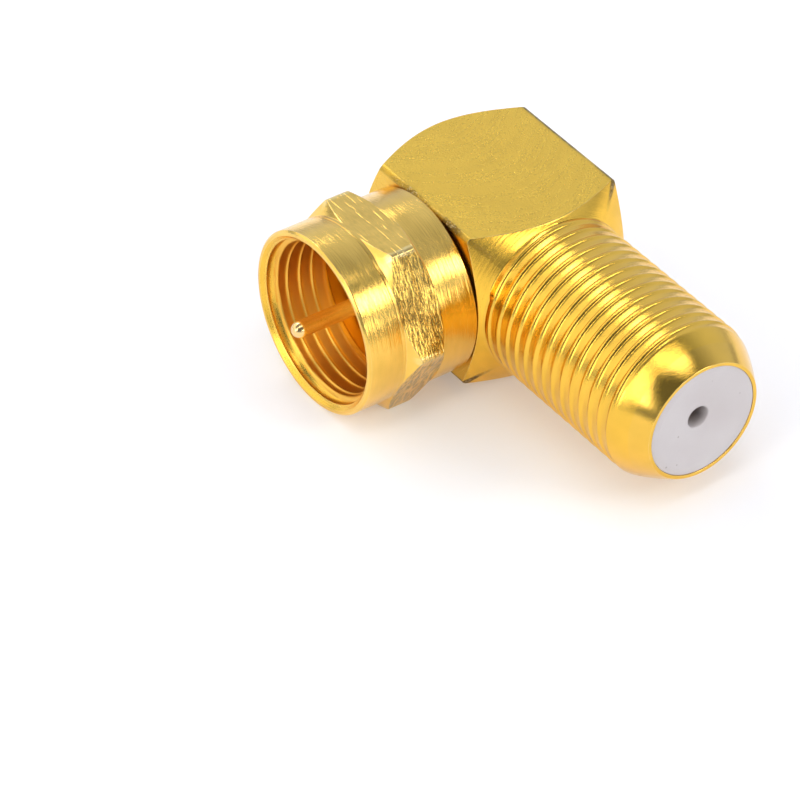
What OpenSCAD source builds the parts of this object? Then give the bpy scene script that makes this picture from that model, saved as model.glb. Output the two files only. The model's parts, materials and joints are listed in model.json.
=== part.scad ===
// Right-angle coaxial adapter: captive hex nut with a centre pin on one side,
// threaded barrel with a spring socket on the other.
// The nut axis runs along +X, the barrel axis along +Y, and they cross above the origin.
// Z = 0 is the underside of the square block.

/* [Square block] */
// Width of the block across its flat faces
block_w = 9.8; // [9.4:0.1:12]
// Radius along the block's four long edges
block_edge_r = 0.3; // [0.1:0.05:0.8]
// Distance from the nut axis back to the rear face
block_back = 5.55; // [5:0.05:8]
// Distance from the nut axis forward to where the front cone meets the barrel
block_front = 5.12; // [5:0.02:7]
// Angle of the turned front cone from the end plane
front_cone_angle = 32; // [20:1:40]
// Angle of the turned rear cone from the end plane
rear_cone_angle = 36; // [20:1:42]
// Ring left between the rear face's edge and the flat sides of the block
rear_face_margin = 0.05; // [0:0.05:0.5]

/* [Threaded barrel] */
// Major diameter of the barrel's thread
thread_d = 9.4; // [9:0.05:9.6]
// Distance from the nut axis to the barrel's end face
barrel_end = 18.1; // [16:0.1:26]
// Length of the tapered lead at the barrel's end
lead_len = 2.2; // [0.8:0.1:3]
// Outer radius of the rim where the lead ends
rim_r = 3.56; // [3.54:0.02:3.8]
// Radius of the lead's slightly bulged side
lead_bulge_r = 11; // [6:1:40]

/* [Barrel bores] */
// Radius of the bore that holds the support insulator and the air gap
main_bore_r = 3.3; // [2.8:0.05:3.45]
// Distance from the nut axis back to the blind end of the main bore
main_bore_back = 3.6; // [3.2:0.1:4.2]
// Radius of the seat of the face insulator
face_seat_r = 3.44; // [3.4:0.02:3.5]
// Radius of the opening inside the rolled rim
rim_opening_r = 3.36; // [3.1:0.02:3.38]
// Thickness of the rolled rim
rim_t = 0.22; // [0.15:0.01:0.4]

/* [Coupling nut] */
// Diameter of the nut's two plain cylinders
nut_d = 10.5; // [10.4:0.05:11.5]
// Width of the hexagon across its flats
hex_af = 10.4; // [10.2:0.05:11.2]
// Diameter to which the hexagon's corners are turned
hex_corner_d = 11.92; // [11.6:0.02:12.6]
// Length of the corner land between the two turned cones
hex_land = 1.42; // [0.8:0.02:2.5]
// Angle of the hexagon's cones from the end plane
hex_cone_angle = 35; // [20:1:45]
// Distance from the nut's rear face to the middle of the hexagon
hex_mid = 3.47; // [3:0.01:4]
// Length of the nut
nut_len = 7.05; // [6.6:0.05:9]
// Radius of the internal thread's crests
nut_crest_r = 4.35; // [4.32:0.01:4.4]
// Radius of the smooth lead-in at the mouth
nut_lead_r = 4.77; // [4.7:0.01:4.85]
// Length of the smooth lead-in at the mouth
nut_lead_len = 0.7; // [0.3:0.05:1.2]
// Radius of the recess behind the internal thread
nut_recess_r = 4.56; // [4.5:0.02:4.75]
// Distance from the nut's mouth to the recess
nut_thread_end = 4.1; // [3:0.1:4.8]
// Thickness of the inner lip that keeps the nut on the ferrule
nut_lip_t = 1.1; // [0.7:0.05:1.5]
// Size of the small chamfers on the nut's end edges
nut_edge = 0.12; // [0.05:0.01:0.25]
// Gap between the block's face and the nut's rear face
nut_gap = 0.15; // [0.1:0.01:0.4]

/* [Nut ferrule] */
// Outer radius of the ferrule's tube, on which the nut turns
ferrule_r = 3.6; // [3.3:0.05:3.8]
// Radial clearance between the ferrule's tube and the nut's lip
ferrule_clearance = 0.05; // [0.02:0.01:0.09]
// Outer radius of the ferrule's flange
flange_r = 4.2; // [4:0.02:4.28]
// Thickness of the ferrule's flange
flange_t = 0.7; // [0.4:0.05:1]
// Axial play between the nut's lip and the flange
flange_play = 0.1; // [0.05:0.01:0.3]
// Radius of the ferrule's pressed-in end
press_r = 3.0; // [2.8:0.05:3.2]
// Length of the ferrule's pressed-in end
press_len = 1.5; // [0.8:0.05:1.55]

/* [Centre pin and socket contact] */
// Diameter of the centre pin
pin_d = 0.95; // [0.7:0.01:1.1]
// Distance that the pin stands out past the nut's mouth
pin_proud = 1.3; // [0:0.05:2]
// Length of the pin's rounded point
pin_point = 0.5; // [0.2:0.05:1]
// Radius of the blunt end of the pin's point
pin_tip_r = 0.12; // [0.05:0.01:0.2]
// Radius of the collar that holds the pin in its sleeve
pin_collar_r = 0.8; // [0.65:0.05:1.2]
// Distance that the pin's tail stays inside the far side of the contact
pin_tail_margin = 0.3; // [0.2:0.05:0.6]
// Outer radius of the socket contact
contact_r = 1.2; // [1:0.05:1.6]
// Radius of the bore that grips the mating conductor
contact_bore_r = 0.45; // [0.35:0.01:0.48]
// Depth of the contact's bore from its open end
contact_bore_depth = 9; // [6:0.5:11]
// Width of the contact's spring slot
contact_slot_w = 0.3; // [0.2:0.05:0.5]
// Length of the contact's spring slot
contact_slot_len = 5; // [3:0.5:6]
// Distance from the nut axis back to the contact's closed end
contact_back = 2.4; // [1.5:0.1:3]

/* [Insulators] */
// Radius of the sleeve in the ferrule
sleeve_r = 2.4; // [1.8:0.05:2.6]
// Distance that the sleeve's face is set back from the flange's face
sleeve_recess = 0.15; // [0:0.05:0.5]
// Length of the support insulator in front of the nut axis
support_front = 6; // [3:0.5:7]
// Radial room round the pin where it crosses the support insulator
pin_room = 0.1; // [0.05:0.05:0.5]
// Thickness of the face insulator
face_t = 3.4; // [2.5:0.1:5]
// Distance that the face insulator's face is set back from the barrel's end
face_recess = 0.04; // [0:0.01:0.15]
// Radius of the centre hole in the face insulator
hole_r = 0.65; // [0.5:0.01:0.8]
// Radius of the shallow dish round the centre hole
dish_r = 2.9; // [1.5:0.1:3]
// Depth of the dish at the centre hole
dish_depth = 0.36; // [0.1:0.02:0.6]
// Depth of the contact's seat in the back of the face insulator
contact_seat = 1.2; // [0.5:0.1:2]
// Radial room round the contact in the face insulator
contact_room = 0.06; // [0.02:0.01:0.2]

/* [Hidden] */
$fn = 96;

// Amount by which a cut runs past the face that it opens
over = 1;
// Height of both axes above the block's underside
axis_z = block_w / 2;

// Block
block_half = block_w / 2;
corner_r = (block_half - block_edge_r) * sqrt(2) + block_edge_r;
turned_r = corner_r + over;
rear_face_r = block_half - rear_face_margin;

// Barrel, with the chord of the lead's bulged side and the centre of its arc
thread_r = thread_d / 2;
lead_start = barrel_end - lead_len;
lead_chord = sqrt(pow(thread_r - rim_r, 2) + pow(lead_len, 2));
lead_depth = sqrt(pow(lead_bulge_r, 2) - pow(lead_chord / 2, 2));
lead_centre = [
    (thread_r + rim_r) / 2 - lead_depth * lead_len / lead_chord,
    barrel_end - lead_len / 2 - lead_depth * (thread_r - rim_r) / lead_chord
];

// Nut, with its places along the nut axis
nut_r = nut_d / 2;
nut_back = block_half + nut_gap;
nut_mouth = nut_back + nut_len;
hex_corner_r = hex_corner_d / 2;
cone_len = (hex_corner_r - nut_r) * tan(hex_cone_angle);
mill_half = hex_land / 2 + (hex_corner_r - hex_af / 2) * tan(hex_cone_angle);
hex_mid_x = nut_back + hex_mid;
lip_front = nut_back + nut_lip_t;
recess_front = nut_mouth - nut_thread_end;

// Ferrule, sleeve and pin
flange_back = lip_front + flange_play;
flange_front = flange_back + flange_t;
ferrule_back = block_half - press_len;
sleeve_front = flange_front - sleeve_recess;
pin_r = pin_d / 2;
pin_tip = nut_mouth + pin_proud;
pin_tail = pin_tail_margin - contact_r;

// Contact and insulators, with their places along the barrel axis
face_front = barrel_end - face_recess;
face_back = barrel_end - face_t;
contact_front = face_back + contact_seat;
support_back = main_bore_back;

// Turns a piece drawn along +Z so that it lies on the nut axis
module on_nut_axis() {
    translate([0, 0, axis_z]) rotate([0, 90, 0]) children();
}

// Turns a piece drawn along +Z so that it lies on the barrel axis
module on_barrel_axis() {
    translate([0, 0, axis_z]) rotate([-90, 0, 0]) children();
}

// Cylinder of radius r from one place to another along its axis
module rod(r, from, to) {
    translate([0, 0, from]) cylinder(r = r, h = to - from);
}

// Outline of a square with rounded corners, made of true arcs
module rounded_square(w, r) {
    square([w, w - 2 * r], center = true);
    square([w - 2 * r, w], center = true);
    for (x = [-1, 1], y = [-1, 1])
        translate([x * (w / 2 - r), y * (w / 2 - r)]) circle(r);
}

// Half profile of the turned block: rear face, rear cone, front cone
module block_profile() {
    rear_rise = (turned_r - rear_face_r) * tan(rear_cone_angle);
    front_drop = (turned_r - thread_r) * tan(front_cone_angle);
    polygon([
        [0, -block_back],
        [rear_face_r, -block_back],
        [turned_r, -block_back + rear_rise],
        [turned_r, block_front - front_drop],
        [thread_r, block_front],
        [0, block_front]
    ]);
}

// Square bar with both ends turned to cones about the barrel axis
module turned_block() {
    intersection() {
        translate([0, 0, -block_back])
            linear_extrude(block_back + block_front)
                rounded_square(block_w, block_edge_r);
        rotate_extrude() block_profile();
    }
}

// Half profile of the barrel: thread at its major diameter, then the tapered lead
module barrel_profile() {
    square([thread_r, lead_start]);
    intersection() {
        translate([0, lead_start]) square([thread_r, lead_len]);
        translate(lead_centre) circle(lead_bulge_r);
    }
}

// Bores on the barrel axis: blind main bore, face insulator's seat, opening in the rolled rim
module barrel_bores() {
    rod(main_bore_r, -main_bore_back, face_back + over);
    rod(face_seat_r, face_back, barrel_end - rim_t);
    rod(rim_opening_r, face_back, barrel_end + over);
}

// Block and barrel, turned and bored as one piece
module elbow_body() {
    color("goldenrod")
        difference() {
            on_barrel_axis()
                difference() {
                    union() {
                        turned_block();
                        rotate_extrude() barrel_profile();
                    }
                    barrel_bores();
                }
            on_nut_axis() rod(press_r, 0, block_half + over);
        }
}

// Half profile of the nut's outside as it is turned: two cylinders, two cones, corner land
module nut_turned_profile() {
    polygon([
        [0, nut_back],
        [nut_r - nut_edge, nut_back],
        [nut_r, nut_back + nut_edge],
        [nut_r, hex_mid_x - hex_land / 2 - cone_len],
        [hex_corner_r, hex_mid_x - hex_land / 2],
        [hex_corner_r, hex_mid_x + hex_land / 2],
        [nut_r, hex_mid_x + hex_land / 2 + cone_len],
        [nut_r, nut_mouth - nut_edge],
        [nut_r - nut_edge, nut_mouth],
        [0, nut_mouth]
    ]);
}

// What the cutter takes off to leave six flats, two of them level at rest
module nut_milling() {
    difference() {
        rod(hex_corner_r + over, hex_mid_x - mill_half, hex_mid_x + mill_half);
        translate([0, 0, nut_back])
            rotate([0, 0, 30])
                cylinder(r = hex_af / 2 / cos(30), h = nut_len, $fn = 6);
    }
}

// Half profile of the nut's inside: lip, recess, thread at its crests, lead-in
module nut_inside_profile() {
    lip_r = ferrule_r + ferrule_clearance;
    polygon([
        [0, nut_back - over],
        [lip_r, nut_back - over],
        [lip_r, lip_front],
        [nut_recess_r, lip_front],
        [nut_recess_r, recess_front],
        [nut_crest_r, recess_front],
        [nut_crest_r, nut_mouth - nut_lead_len],
        [nut_lead_r, nut_mouth - nut_lead_len],
        [nut_lead_r, nut_mouth + over],
        [0, nut_mouth + over]
    ]);
}

// Captive nut of the male side
module coupling_nut() {
    color("gold")
        on_nut_axis()
            difference() {
                rotate_extrude() nut_turned_profile();
                nut_milling();
                rotate_extrude() nut_inside_profile();
            }
}

// Flanged tube pressed into the block, on which the nut turns
module nut_ferrule() {
    color("gold")
        on_nut_axis()
            difference() {
                union() {
                    rod(press_r, ferrule_back, block_half + over);
                    rod(ferrule_r, block_half, flange_front);
                    rod(flange_r, flange_back, flange_front);
                }
                rod(sleeve_r, ferrule_back - over, flange_front + over);
            }
}

// White sleeve that centres the pin in the ferrule
module ferrule_insulator() {
    color("whitesmoke")
        on_nut_axis()
            difference() {
                rod(sleeve_r, ferrule_back, sleeve_front);
                rod(pin_collar_r, ferrule_back - over, sleeve_front + over);
            }
}

// Half profile of the pin's point: a cone that ends in a small ball
module pin_point_profile() {
    polygon([
        [0, 0],
        [pin_r, 0],
        [pin_tip_r, pin_point - pin_tip_r],
        [0, pin_point - pin_tip_r]
    ]);
    translate([0, pin_point - pin_tip_r])
        intersection() {
            circle(pin_tip_r);
            square(pin_tip_r);
        }
}

// Pointed pin with a collar in its sleeve and its tail in the socket contact's cross hole
module centre_pin() {
    color("gold")
        on_nut_axis() {
            rod(pin_r, pin_tail, pin_tip - pin_point);
            rod(pin_collar_r, ferrule_back, sleeve_front);
            translate([0, 0, pin_tip - pin_point]) rotate_extrude() pin_point_profile();
        }
}

// Turned spring contact with a bore, a slot across its open end and a cross hole for the pin
module socket_contact() {
    color("gold")
        difference() {
            on_barrel_axis()
                difference() {
                    rod(contact_r, -contact_back, contact_front);
                    rod(contact_bore_r, contact_front - contact_bore_depth, contact_front + over);
                    translate([-contact_r - over, -contact_slot_w / 2, contact_front - contact_slot_len])
                        cube([2 * (contact_r + over), contact_slot_w, contact_slot_len + over]);
                }
            on_nut_axis() rod(pin_r, -contact_r - over, contact_r + over);
        }
}

// White sleeve that holds the contact inside the block
module support_insulator() {
    color("whitesmoke")
        difference() {
            on_barrel_axis()
                difference() {
                    rod(main_bore_r, -support_back, support_front);
                    rod(contact_r, -contact_back, support_front + over);
                }
            on_nut_axis() rod(pin_r + pin_room, 0, main_bore_r + over);
        }
}

// Half profile of the face insulator's shallow dish
module dish_profile() {
    polygon([
        [0, face_front - dish_depth],
        [hole_r, face_front - dish_depth],
        [dish_r, face_front],
        [dish_r, face_front + over],
        [0, face_front + over]
    ]);
}

// White plug that closes the barrel, stepped to sit behind the rolled rim
module face_insulator() {
    color("white")
        on_barrel_axis()
            difference() {
                union() {
                    rod(face_seat_r, face_back, barrel_end - rim_t);
                    rod(rim_opening_r, face_back, face_front);
                }
                rotate_extrude() dish_profile();
                rod(hole_r, face_back - over, face_front + over);
                rod(contact_r + contact_room, face_back - over, contact_front);
            }
}

elbow_body();
coupling_nut();
nut_ferrule();
ferrule_insulator();
centre_pin();
socket_contact();
support_insulator();
face_insulator();
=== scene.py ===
"""Studio dressing of a gold-plated right-angle coaxial adapter.

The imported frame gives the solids, their places and the one moving joint. This script turns
each visible piece again with fine edges and true threads, plates it, and lights it on a pale
table. All sizes are in metres; the nut axis is +X, the barrel axis is +Y and both cross above
the origin.
"""

import json
import logging
import math
from dataclasses import dataclass, field, fields
from enum import Enum, IntEnum
from functools import partialmethod
from typing import Iterable, Sequence, Union

import bmesh
import bpy
import numpy as np
from mathutils import Matrix, Vector

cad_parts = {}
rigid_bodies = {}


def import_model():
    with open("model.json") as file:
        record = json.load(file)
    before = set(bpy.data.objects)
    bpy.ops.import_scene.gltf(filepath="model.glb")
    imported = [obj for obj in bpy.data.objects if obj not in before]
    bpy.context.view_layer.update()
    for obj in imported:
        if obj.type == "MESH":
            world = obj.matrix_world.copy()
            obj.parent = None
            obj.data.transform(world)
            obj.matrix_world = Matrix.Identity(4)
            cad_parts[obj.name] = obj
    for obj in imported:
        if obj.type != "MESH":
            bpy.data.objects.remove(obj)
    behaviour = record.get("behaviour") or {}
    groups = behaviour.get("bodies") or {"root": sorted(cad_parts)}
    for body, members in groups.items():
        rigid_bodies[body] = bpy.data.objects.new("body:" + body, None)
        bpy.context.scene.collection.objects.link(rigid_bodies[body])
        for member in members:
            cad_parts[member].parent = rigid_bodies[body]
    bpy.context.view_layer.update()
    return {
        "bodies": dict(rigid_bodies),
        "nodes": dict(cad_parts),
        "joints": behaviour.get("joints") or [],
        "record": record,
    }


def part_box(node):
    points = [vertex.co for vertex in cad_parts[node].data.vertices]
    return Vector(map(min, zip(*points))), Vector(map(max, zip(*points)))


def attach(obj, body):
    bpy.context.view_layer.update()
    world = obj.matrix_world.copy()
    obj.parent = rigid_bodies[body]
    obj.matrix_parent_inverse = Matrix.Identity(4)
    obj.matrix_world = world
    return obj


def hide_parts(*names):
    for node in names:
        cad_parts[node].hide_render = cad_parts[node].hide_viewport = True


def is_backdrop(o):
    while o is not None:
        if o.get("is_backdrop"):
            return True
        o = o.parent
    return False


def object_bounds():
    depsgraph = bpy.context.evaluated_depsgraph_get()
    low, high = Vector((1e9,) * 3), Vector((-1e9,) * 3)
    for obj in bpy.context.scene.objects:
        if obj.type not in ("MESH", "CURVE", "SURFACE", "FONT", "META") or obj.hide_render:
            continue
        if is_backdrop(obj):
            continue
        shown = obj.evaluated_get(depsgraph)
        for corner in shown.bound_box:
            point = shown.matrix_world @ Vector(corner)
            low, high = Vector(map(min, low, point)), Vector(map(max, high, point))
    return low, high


LOG = logging.getLogger("adapter")
MM = 0.001
COLUMNS = 240

Material, Mesh, Piece = bpy.types.Material, bpy.types.Mesh, bpy.types.Object
Node, Socket, Tree = bpy.types.Node, bpy.types.NodeSocket, bpy.types.NodeTree
Numbers = Union[float, np.ndarray]
Value = Union[float, int, tuple, Socket]


# ---------------------------------------------------------------- axes and shared places


class Axis(Enum):
    """One of the adapter's two axes, with the angle counted right-handed from straight up."""

    NUT = "nut"
    BARREL = "barrel"

    def matrix(self, height: float) -> Matrix:
        """Returns the matrix that lays a piece turned about +Z onto this axis.

        Args:
            height: Height of both axes above the origin.
        """
        if self is Axis.NUT:
            turn = Matrix(((0, 0, 1), (0, -1, 0), (1, 0, 0)))
        else:
            turn = Matrix(((0, 1, 0), (0, 0, 1), (1, 0, 0)))
        return Matrix.Translation((0, 0, height)) @ turn.to_4x4()

    def mapping(self, height: float) -> tuple[tuple, tuple]:
        """Returns the (location, rotation) of a Mapping node that undoes matrix().

        Args:
            height: Height of both axes above the origin.
        """
        inverse = self.matrix(height).inverted()
        return tuple(inverse.to_translation()), tuple(inverse.to_euler())


class Zone(IntEnum):
    """Material slots of a turned piece."""

    MAIN = 0
    TURNED = 1
    THREAD = 2
    POLISHED = 3
    MILLED = 4
    INSIDE = 5


# ---------------------------------------------------------------- turned shells


@dataclass
class Corner:
    """One corner of a half-section.

    Attributes:
        radius: Distance from the axis, one number or one for each column.
        along: Place along the axis, one number or one for each column.
        rounding: Radius of the rounding at this corner; 0 leaves it sharp.
        zone: Material slot of the surface that starts here.
        angles: Column angles from here on, or None to keep the last ones.
        burr: How raw the surface is here, one number or one for each column.
        crease: Extra edge value, for long edges that run along the axis; on the nut's hex corners
            it paints a highlight line.
    """

    radius: Numbers
    along: Numbers
    rounding: float = 0.0
    zone: Zone = Zone.MAIN
    angles: Union[np.ndarray, None] = None
    burr: Numbers = 0.0
    crease: Numbers = 0.0


def even_angles(columns: int = COLUMNS) -> np.ndarray:
    """Returns evenly spaced column angles over one turn."""
    return np.arange(columns) * (2 * math.pi / columns)


def gathered_angles(sides: int, corner_from: float, share: float) -> np.ndarray:
    """Returns column angles that gather round the corners of a regular bar.

    Args:
        sides: Number of flats on the bar.
        corner_from: Angle from a flat's middle at which its corner zone starts.
        share: Share of the columns that lies in the corner zones.
    """
    half = math.pi / sides
    place = np.arange(COLUMNS) / COLUMNS * 2 * sides
    step, part = np.floor(place), place - np.floor(place)
    part = np.where(step % 2 == 1, 1 - part, part)
    within = np.interp(part, [0, 1 - share, 1], [0, corner_from, half])
    return np.where(step % 2 == 1, (step + 1) * half - within, step * half + within)


def bar_radius(angles: np.ndarray, sides: int, across: float, rounding: float) -> np.ndarray:
    """Returns the distance from the axis to the side of a regular bar with rounded corners.

    Args:
        angles: Angles at which the distance is wanted.
        sides: Number of flats.
        across: Width across the flats.
        rounding: Radius of the bar's long edges.
    """
    half = math.pi / sides
    off = np.abs((angles + half) % (2 * half) - half)
    flat = across / 2
    centre = (flat - rounding) / math.cos(half)
    start = math.atan2(centre * math.sin(half), flat)
    side = flat / np.cos(off)
    lean = off - half
    arc = centre * np.cos(lean) + np.sqrt(np.maximum(rounding**2 - (centre * np.sin(lean)) ** 2, 0))
    return np.where(off < start, side, arc)


class TurnedShell:
    """A surface made of rings of points about one axis, with rounded section corners."""

    STEPS = 4

    def __init__(self, columns: int = COLUMNS) -> None:
        """Starts an empty shell.

        Args:
            columns: Number of points in each ring.
        """
        self.columns = columns
        self.rings: list[np.ndarray] = []
        self.edges: list[np.ndarray] = []
        self.burrs: list[np.ndarray] = []
        self.zones: list[Zone] = []

    def add(self, corners: Sequence[Corner]) -> "TurnedShell":
        """Adds one half-section, rounded where its corners say so.

        Args:
            corners: The section's corners in order.

        Returns:
            This shell.
        """
        angles = even_angles(self.columns)
        points = [np.stack([self._each(c.radius), self._each(c.along)], -1).astype(float)
                  for c in corners]
        for i, corner in enumerate(corners):
            angles = angles if corner.angles is None else corner.angles
            before = corners[i - 1].zone if i else corner.zone
            if corner.rounding <= 0 or i in (0, len(corners) - 1):
                self._ring(points[i], angles, corner.crease, corner.zone, corner.burr)
                continue
            back, on = points[i - 1] - points[i], points[i + 1] - points[i]
            back_len = np.maximum(np.linalg.norm(back, axis=1), 1e-12)
            on_len = np.maximum(np.linalg.norm(on, axis=1), 1e-12)
            back, on = back / back_len[:, None], on / on_len[:, None]
            half = np.arccos(np.clip((back * on).sum(1), -1, 1)) / 2
            reach = corner.rounding / np.maximum(np.tan(half), 1e-3)
            reach = np.minimum(reach, 0.45 * np.minimum(back_len, on_len))[:, None]
            for k in range(self.STEPS + 1):
                s = k / self.STEPS
                bent = points[i] + (1 - s) ** 2 * back * reach + s**2 * on * reach
                zone = before if k < self.STEPS / 2 else corner.zone
                edge = np.maximum(1 - abs(2 * s - 1), corner.crease)
                self._ring(bent, angles, edge, zone, corner.burr)
        return self

    def _each(self, values: Numbers) -> np.ndarray:
        """Returns one number for each column."""
        return np.broadcast_to(values, self.columns)

    def _ring(self, points: np.ndarray, angles: np.ndarray, edge: Numbers, zone: Zone,
              burr: Numbers) -> None:
        """Adds one ring; the zone is that of the faces after it."""
        radius, along = points[:, 0], points[:, 1]
        self.rings.append(np.stack([radius * np.cos(angles), radius * np.sin(angles), along], -1))
        self.edges.append(self._each(edge))
        self.burrs.append(self._each(burr))
        self.zones.append(zone)

    def mesh(self, name: str) -> Mesh:
        """Builds the mesh about +Z, with an edge value of 1 on rounded corners, and a burr value.

        Args:
            name: Name of the mesh.
        """
        n, rows = self.columns, len(self.rings)
        data = bpy.data.meshes.new(name)
        points = np.concatenate(self.rings)
        column = np.arange(n)
        nxt = (column + 1) % n
        strip = np.stack([column, nxt, nxt + n, column + n], -1)
        faces = np.concatenate([strip + r * n for r in range(rows - 1)])
        data.from_pydata(points.tolist(), [], faces.tolist())
        data.polygons.foreach_set("material_index",
                                  np.repeat([int(z) for z in self.zones[:-1]], n).astype(np.int32))
        for label, values in (("edge", self.edges), ("burr", self.burrs)):
            layer = data.attributes.new(label, "FLOAT", "POINT")
            layer.data.foreach_set("value", np.concatenate(values).astype(np.float32))
        return data


def piece_from(name: str, meshes: Iterable[Mesh], place: Matrix,
               finishes: Iterable[Material]) -> Piece:
    """Joins meshes into one closed piece with outward normals and smooth shading.

    Args:
        name: Name of the piece.
        meshes: Meshes about +Z whose rims meet point for point.
        place: Matrix that lays the piece on its axis.
        finishes: Materials, in the order of Zone where the piece has zones.

    Returns:
        The new object, at the origin and unturned.
    """
    shell = bmesh.new()
    for mesh in meshes:
        shell.from_mesh(mesh)
        bpy.data.meshes.remove(mesh)
    bmesh.ops.remove_doubles(shell, verts=shell.verts, dist=1e-6)
    bmesh.ops.dissolve_degenerate(shell, dist=1e-7, edges=shell.edges)
    bmesh.ops.recalc_face_normals(shell, faces=shell.faces)
    shell.transform(place)
    data = bpy.data.meshes.new(name)
    shell.to_mesh(data)
    shell.free()
    data.shade_smooth()
    made = bpy.data.objects.new(name, data)
    bpy.context.scene.collection.objects.link(made)
    keep = made.modifiers.new("even_normals", "WEIGHTED_NORMAL")
    keep.mode = "FACE_AREA"
    keep.weight = 90
    for finish in finishes:
        data.materials.append(finish)
    return made


# ---------------------------------------------------------------- node trees


class Graph:
    """Short hand for building one node tree, shader or geometry."""

    def __init__(self, tree: Tree) -> None:
        """Wraps a node tree.

        Args:
            tree: The tree to build in.
        """
        self.tree = tree

    def add(self, kind: str, inputs: Union[dict, None] = None, **settings: object) -> Node:
        """Adds a node.

        Args:
            kind: The node's type name.
            inputs: Values or sockets by input name or index.
            settings: Properties of the node.

        Returns:
            The node.
        """
        node = self.tree.nodes.new(kind)
        for key, value in settings.items():
            setattr(node, key, value)
        for key, value in (inputs or {}).items():
            self.feed(node.inputs[key], value)
        return node

    def feed(self, socket: Socket, value: Value) -> None:
        """Links a socket to an input, or sets the input's own value."""
        if isinstance(value, Socket):
            self.tree.links.new(value, socket)
        else:
            socket.default_value = value

    def math(self, operation: str, a: Value, b: Value = 0.0, c: Value = 0.0,
             clamp: bool = False) -> Socket:
        """Adds a Math node and returns its result."""
        node = self.add("ShaderNodeMath", {0: a, 1: b, 2: c}, operation=operation, use_clamp=clamp)
        return node.outputs[0]

    plus = partialmethod(math, "ADD")
    sub = partialmethod(math, "SUBTRACT")
    mul = partialmethod(math, "MULTIPLY")
    over = partialmethod(math, "DIVIDE")
    muladd = partialmethod(math, "MULTIPLY_ADD")
    power = partialmethod(math, "POWER")
    larger = partialmethod(math, "MAXIMUM")

    def ramp(self, value: Value, low: Value, high: Value,
             to: tuple[float, float] = (0.0, 1.0), smooth: bool = True) -> Socket:
        """Maps value from low..high to the range in to, and returns the result."""
        node = self.add("ShaderNodeMapRange", {0: value, 1: low, 2: high, 3: to[0], 4: to[1]},
                        interpolation_type="SMOOTHSTEP" if smooth else "LINEAR")
        return node.outputs[0]

    def blend(self, share: Value, a: Value, b: Value) -> Socket:
        """Mixes two colours and returns the result."""
        node = self.add("ShaderNodeMix", data_type="RGBA")
        self.feed(node.inputs[0], share)
        self.feed(node.inputs[6], a)
        self.feed(node.inputs[7], b)
        return node.outputs[2]

    def lerp(self, share: Value, a: Value, b: Value) -> Socket:
        """Mixes two numbers and returns the result."""
        node = self.add("ShaderNodeMix", data_type="FLOAT")
        self.feed(node.inputs[0], share)
        self.feed(node.inputs[2], a)
        self.feed(node.inputs[3], b)
        return node.outputs[0]

    def split(self, vector: Value) -> Sequence[Socket]:
        """Returns the three parts of a vector."""
        return self.add("ShaderNodeSeparateXYZ", {0: vector}).outputs

    def vector(self, x: Value, y: Value, z: Value) -> Socket:
        """Returns the vector with these three parts."""
        return self.add("ShaderNodeCombineXYZ", {0: x, 1: y, 2: z}).outputs[0]

    def noise(self, vector: Value, scale: Value, detail: float = 2.0,
              roughness: float = 0.5) -> Socket:
        """Adds a 3D noise and returns its value, spread to use most of 0..1."""
        node = self.add("ShaderNodeTexNoise", {"Vector": vector, "Scale": scale, "Detail": detail,
                                               "Roughness": roughness})
        return self.ramp(node.outputs[0], 0.3, 0.7, smooth=False)

    def group(self, tree: Tree, **values: Value) -> Node:
        """Adds a node group; keyword names stand for its inputs, with _ for a space."""
        node = self.add("ShaderNodeGroup", node_tree=tree)
        for name, value in values.items():
            self.feed(node.inputs[name.replace("_", " ")], value)
        return node


def new_group(name: str, inputs: dict[str, Value], outputs: Sequence[str],
              kind: str = "ShaderNodeTree") -> tuple[Graph, Sequence[Socket], Sequence[Socket]]:
    """Makes an empty node group with named sockets.

    Args:
        name: Name of the group.
        inputs: Start value of each input by name, or its socket type where it has none.
        outputs: Names of the outputs: numbers in a shader tree, else geometry.
        kind: Type of the tree.

    Returns:
        The graph, the sockets it is given and the sockets it has to feed.
    """
    tree = bpy.data.node_groups.new(name, kind)
    for label, start in inputs.items():
        typed = start if isinstance(start, str) else "Int" if isinstance(start, int) else "Float"
        socket = tree.interface.new_socket(label, in_out="INPUT", socket_type="NodeSocket" + typed)
        if typed != start:
            socket.default_value = start
    result = "NodeSocketFloat" if kind == "ShaderNodeTree" else "NodeSocketGeometry"
    for label in outputs:
        tree.interface.new_socket(label, in_out="OUTPUT", socket_type=result)
    graph = Graph(tree)
    return graph, graph.add("NodeGroupInput").outputs, graph.add("NodeGroupOutput").inputs


def new_material(name: str) -> tuple[Material, Graph, Sequence[Socket]]:
    """Makes a material and returns it with its graph and its shader's inputs."""
    material = bpy.data.materials.new(name)
    material.use_nodes = True
    tree = material.node_tree
    return material, Graph(tree), tree.nodes["Principled BSDF"].inputs


def dress(g: Graph, shader: Sequence[Socket], colour: Value, rough: Value, relief: Value) -> None:
    """Feeds a shader its colour, its roughness and a relief in metres."""
    bump = g.add("ShaderNodeBump", {"Strength": 1.0, "Distance": 1.0, "Height": relief})
    g.feed(shader["Base Color"], colour)
    g.feed(shader["Roughness"], rough)
    g.feed(shader["Normal"], bump.outputs[0])


# ---------------------------------------------------------------- screw threads


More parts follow.
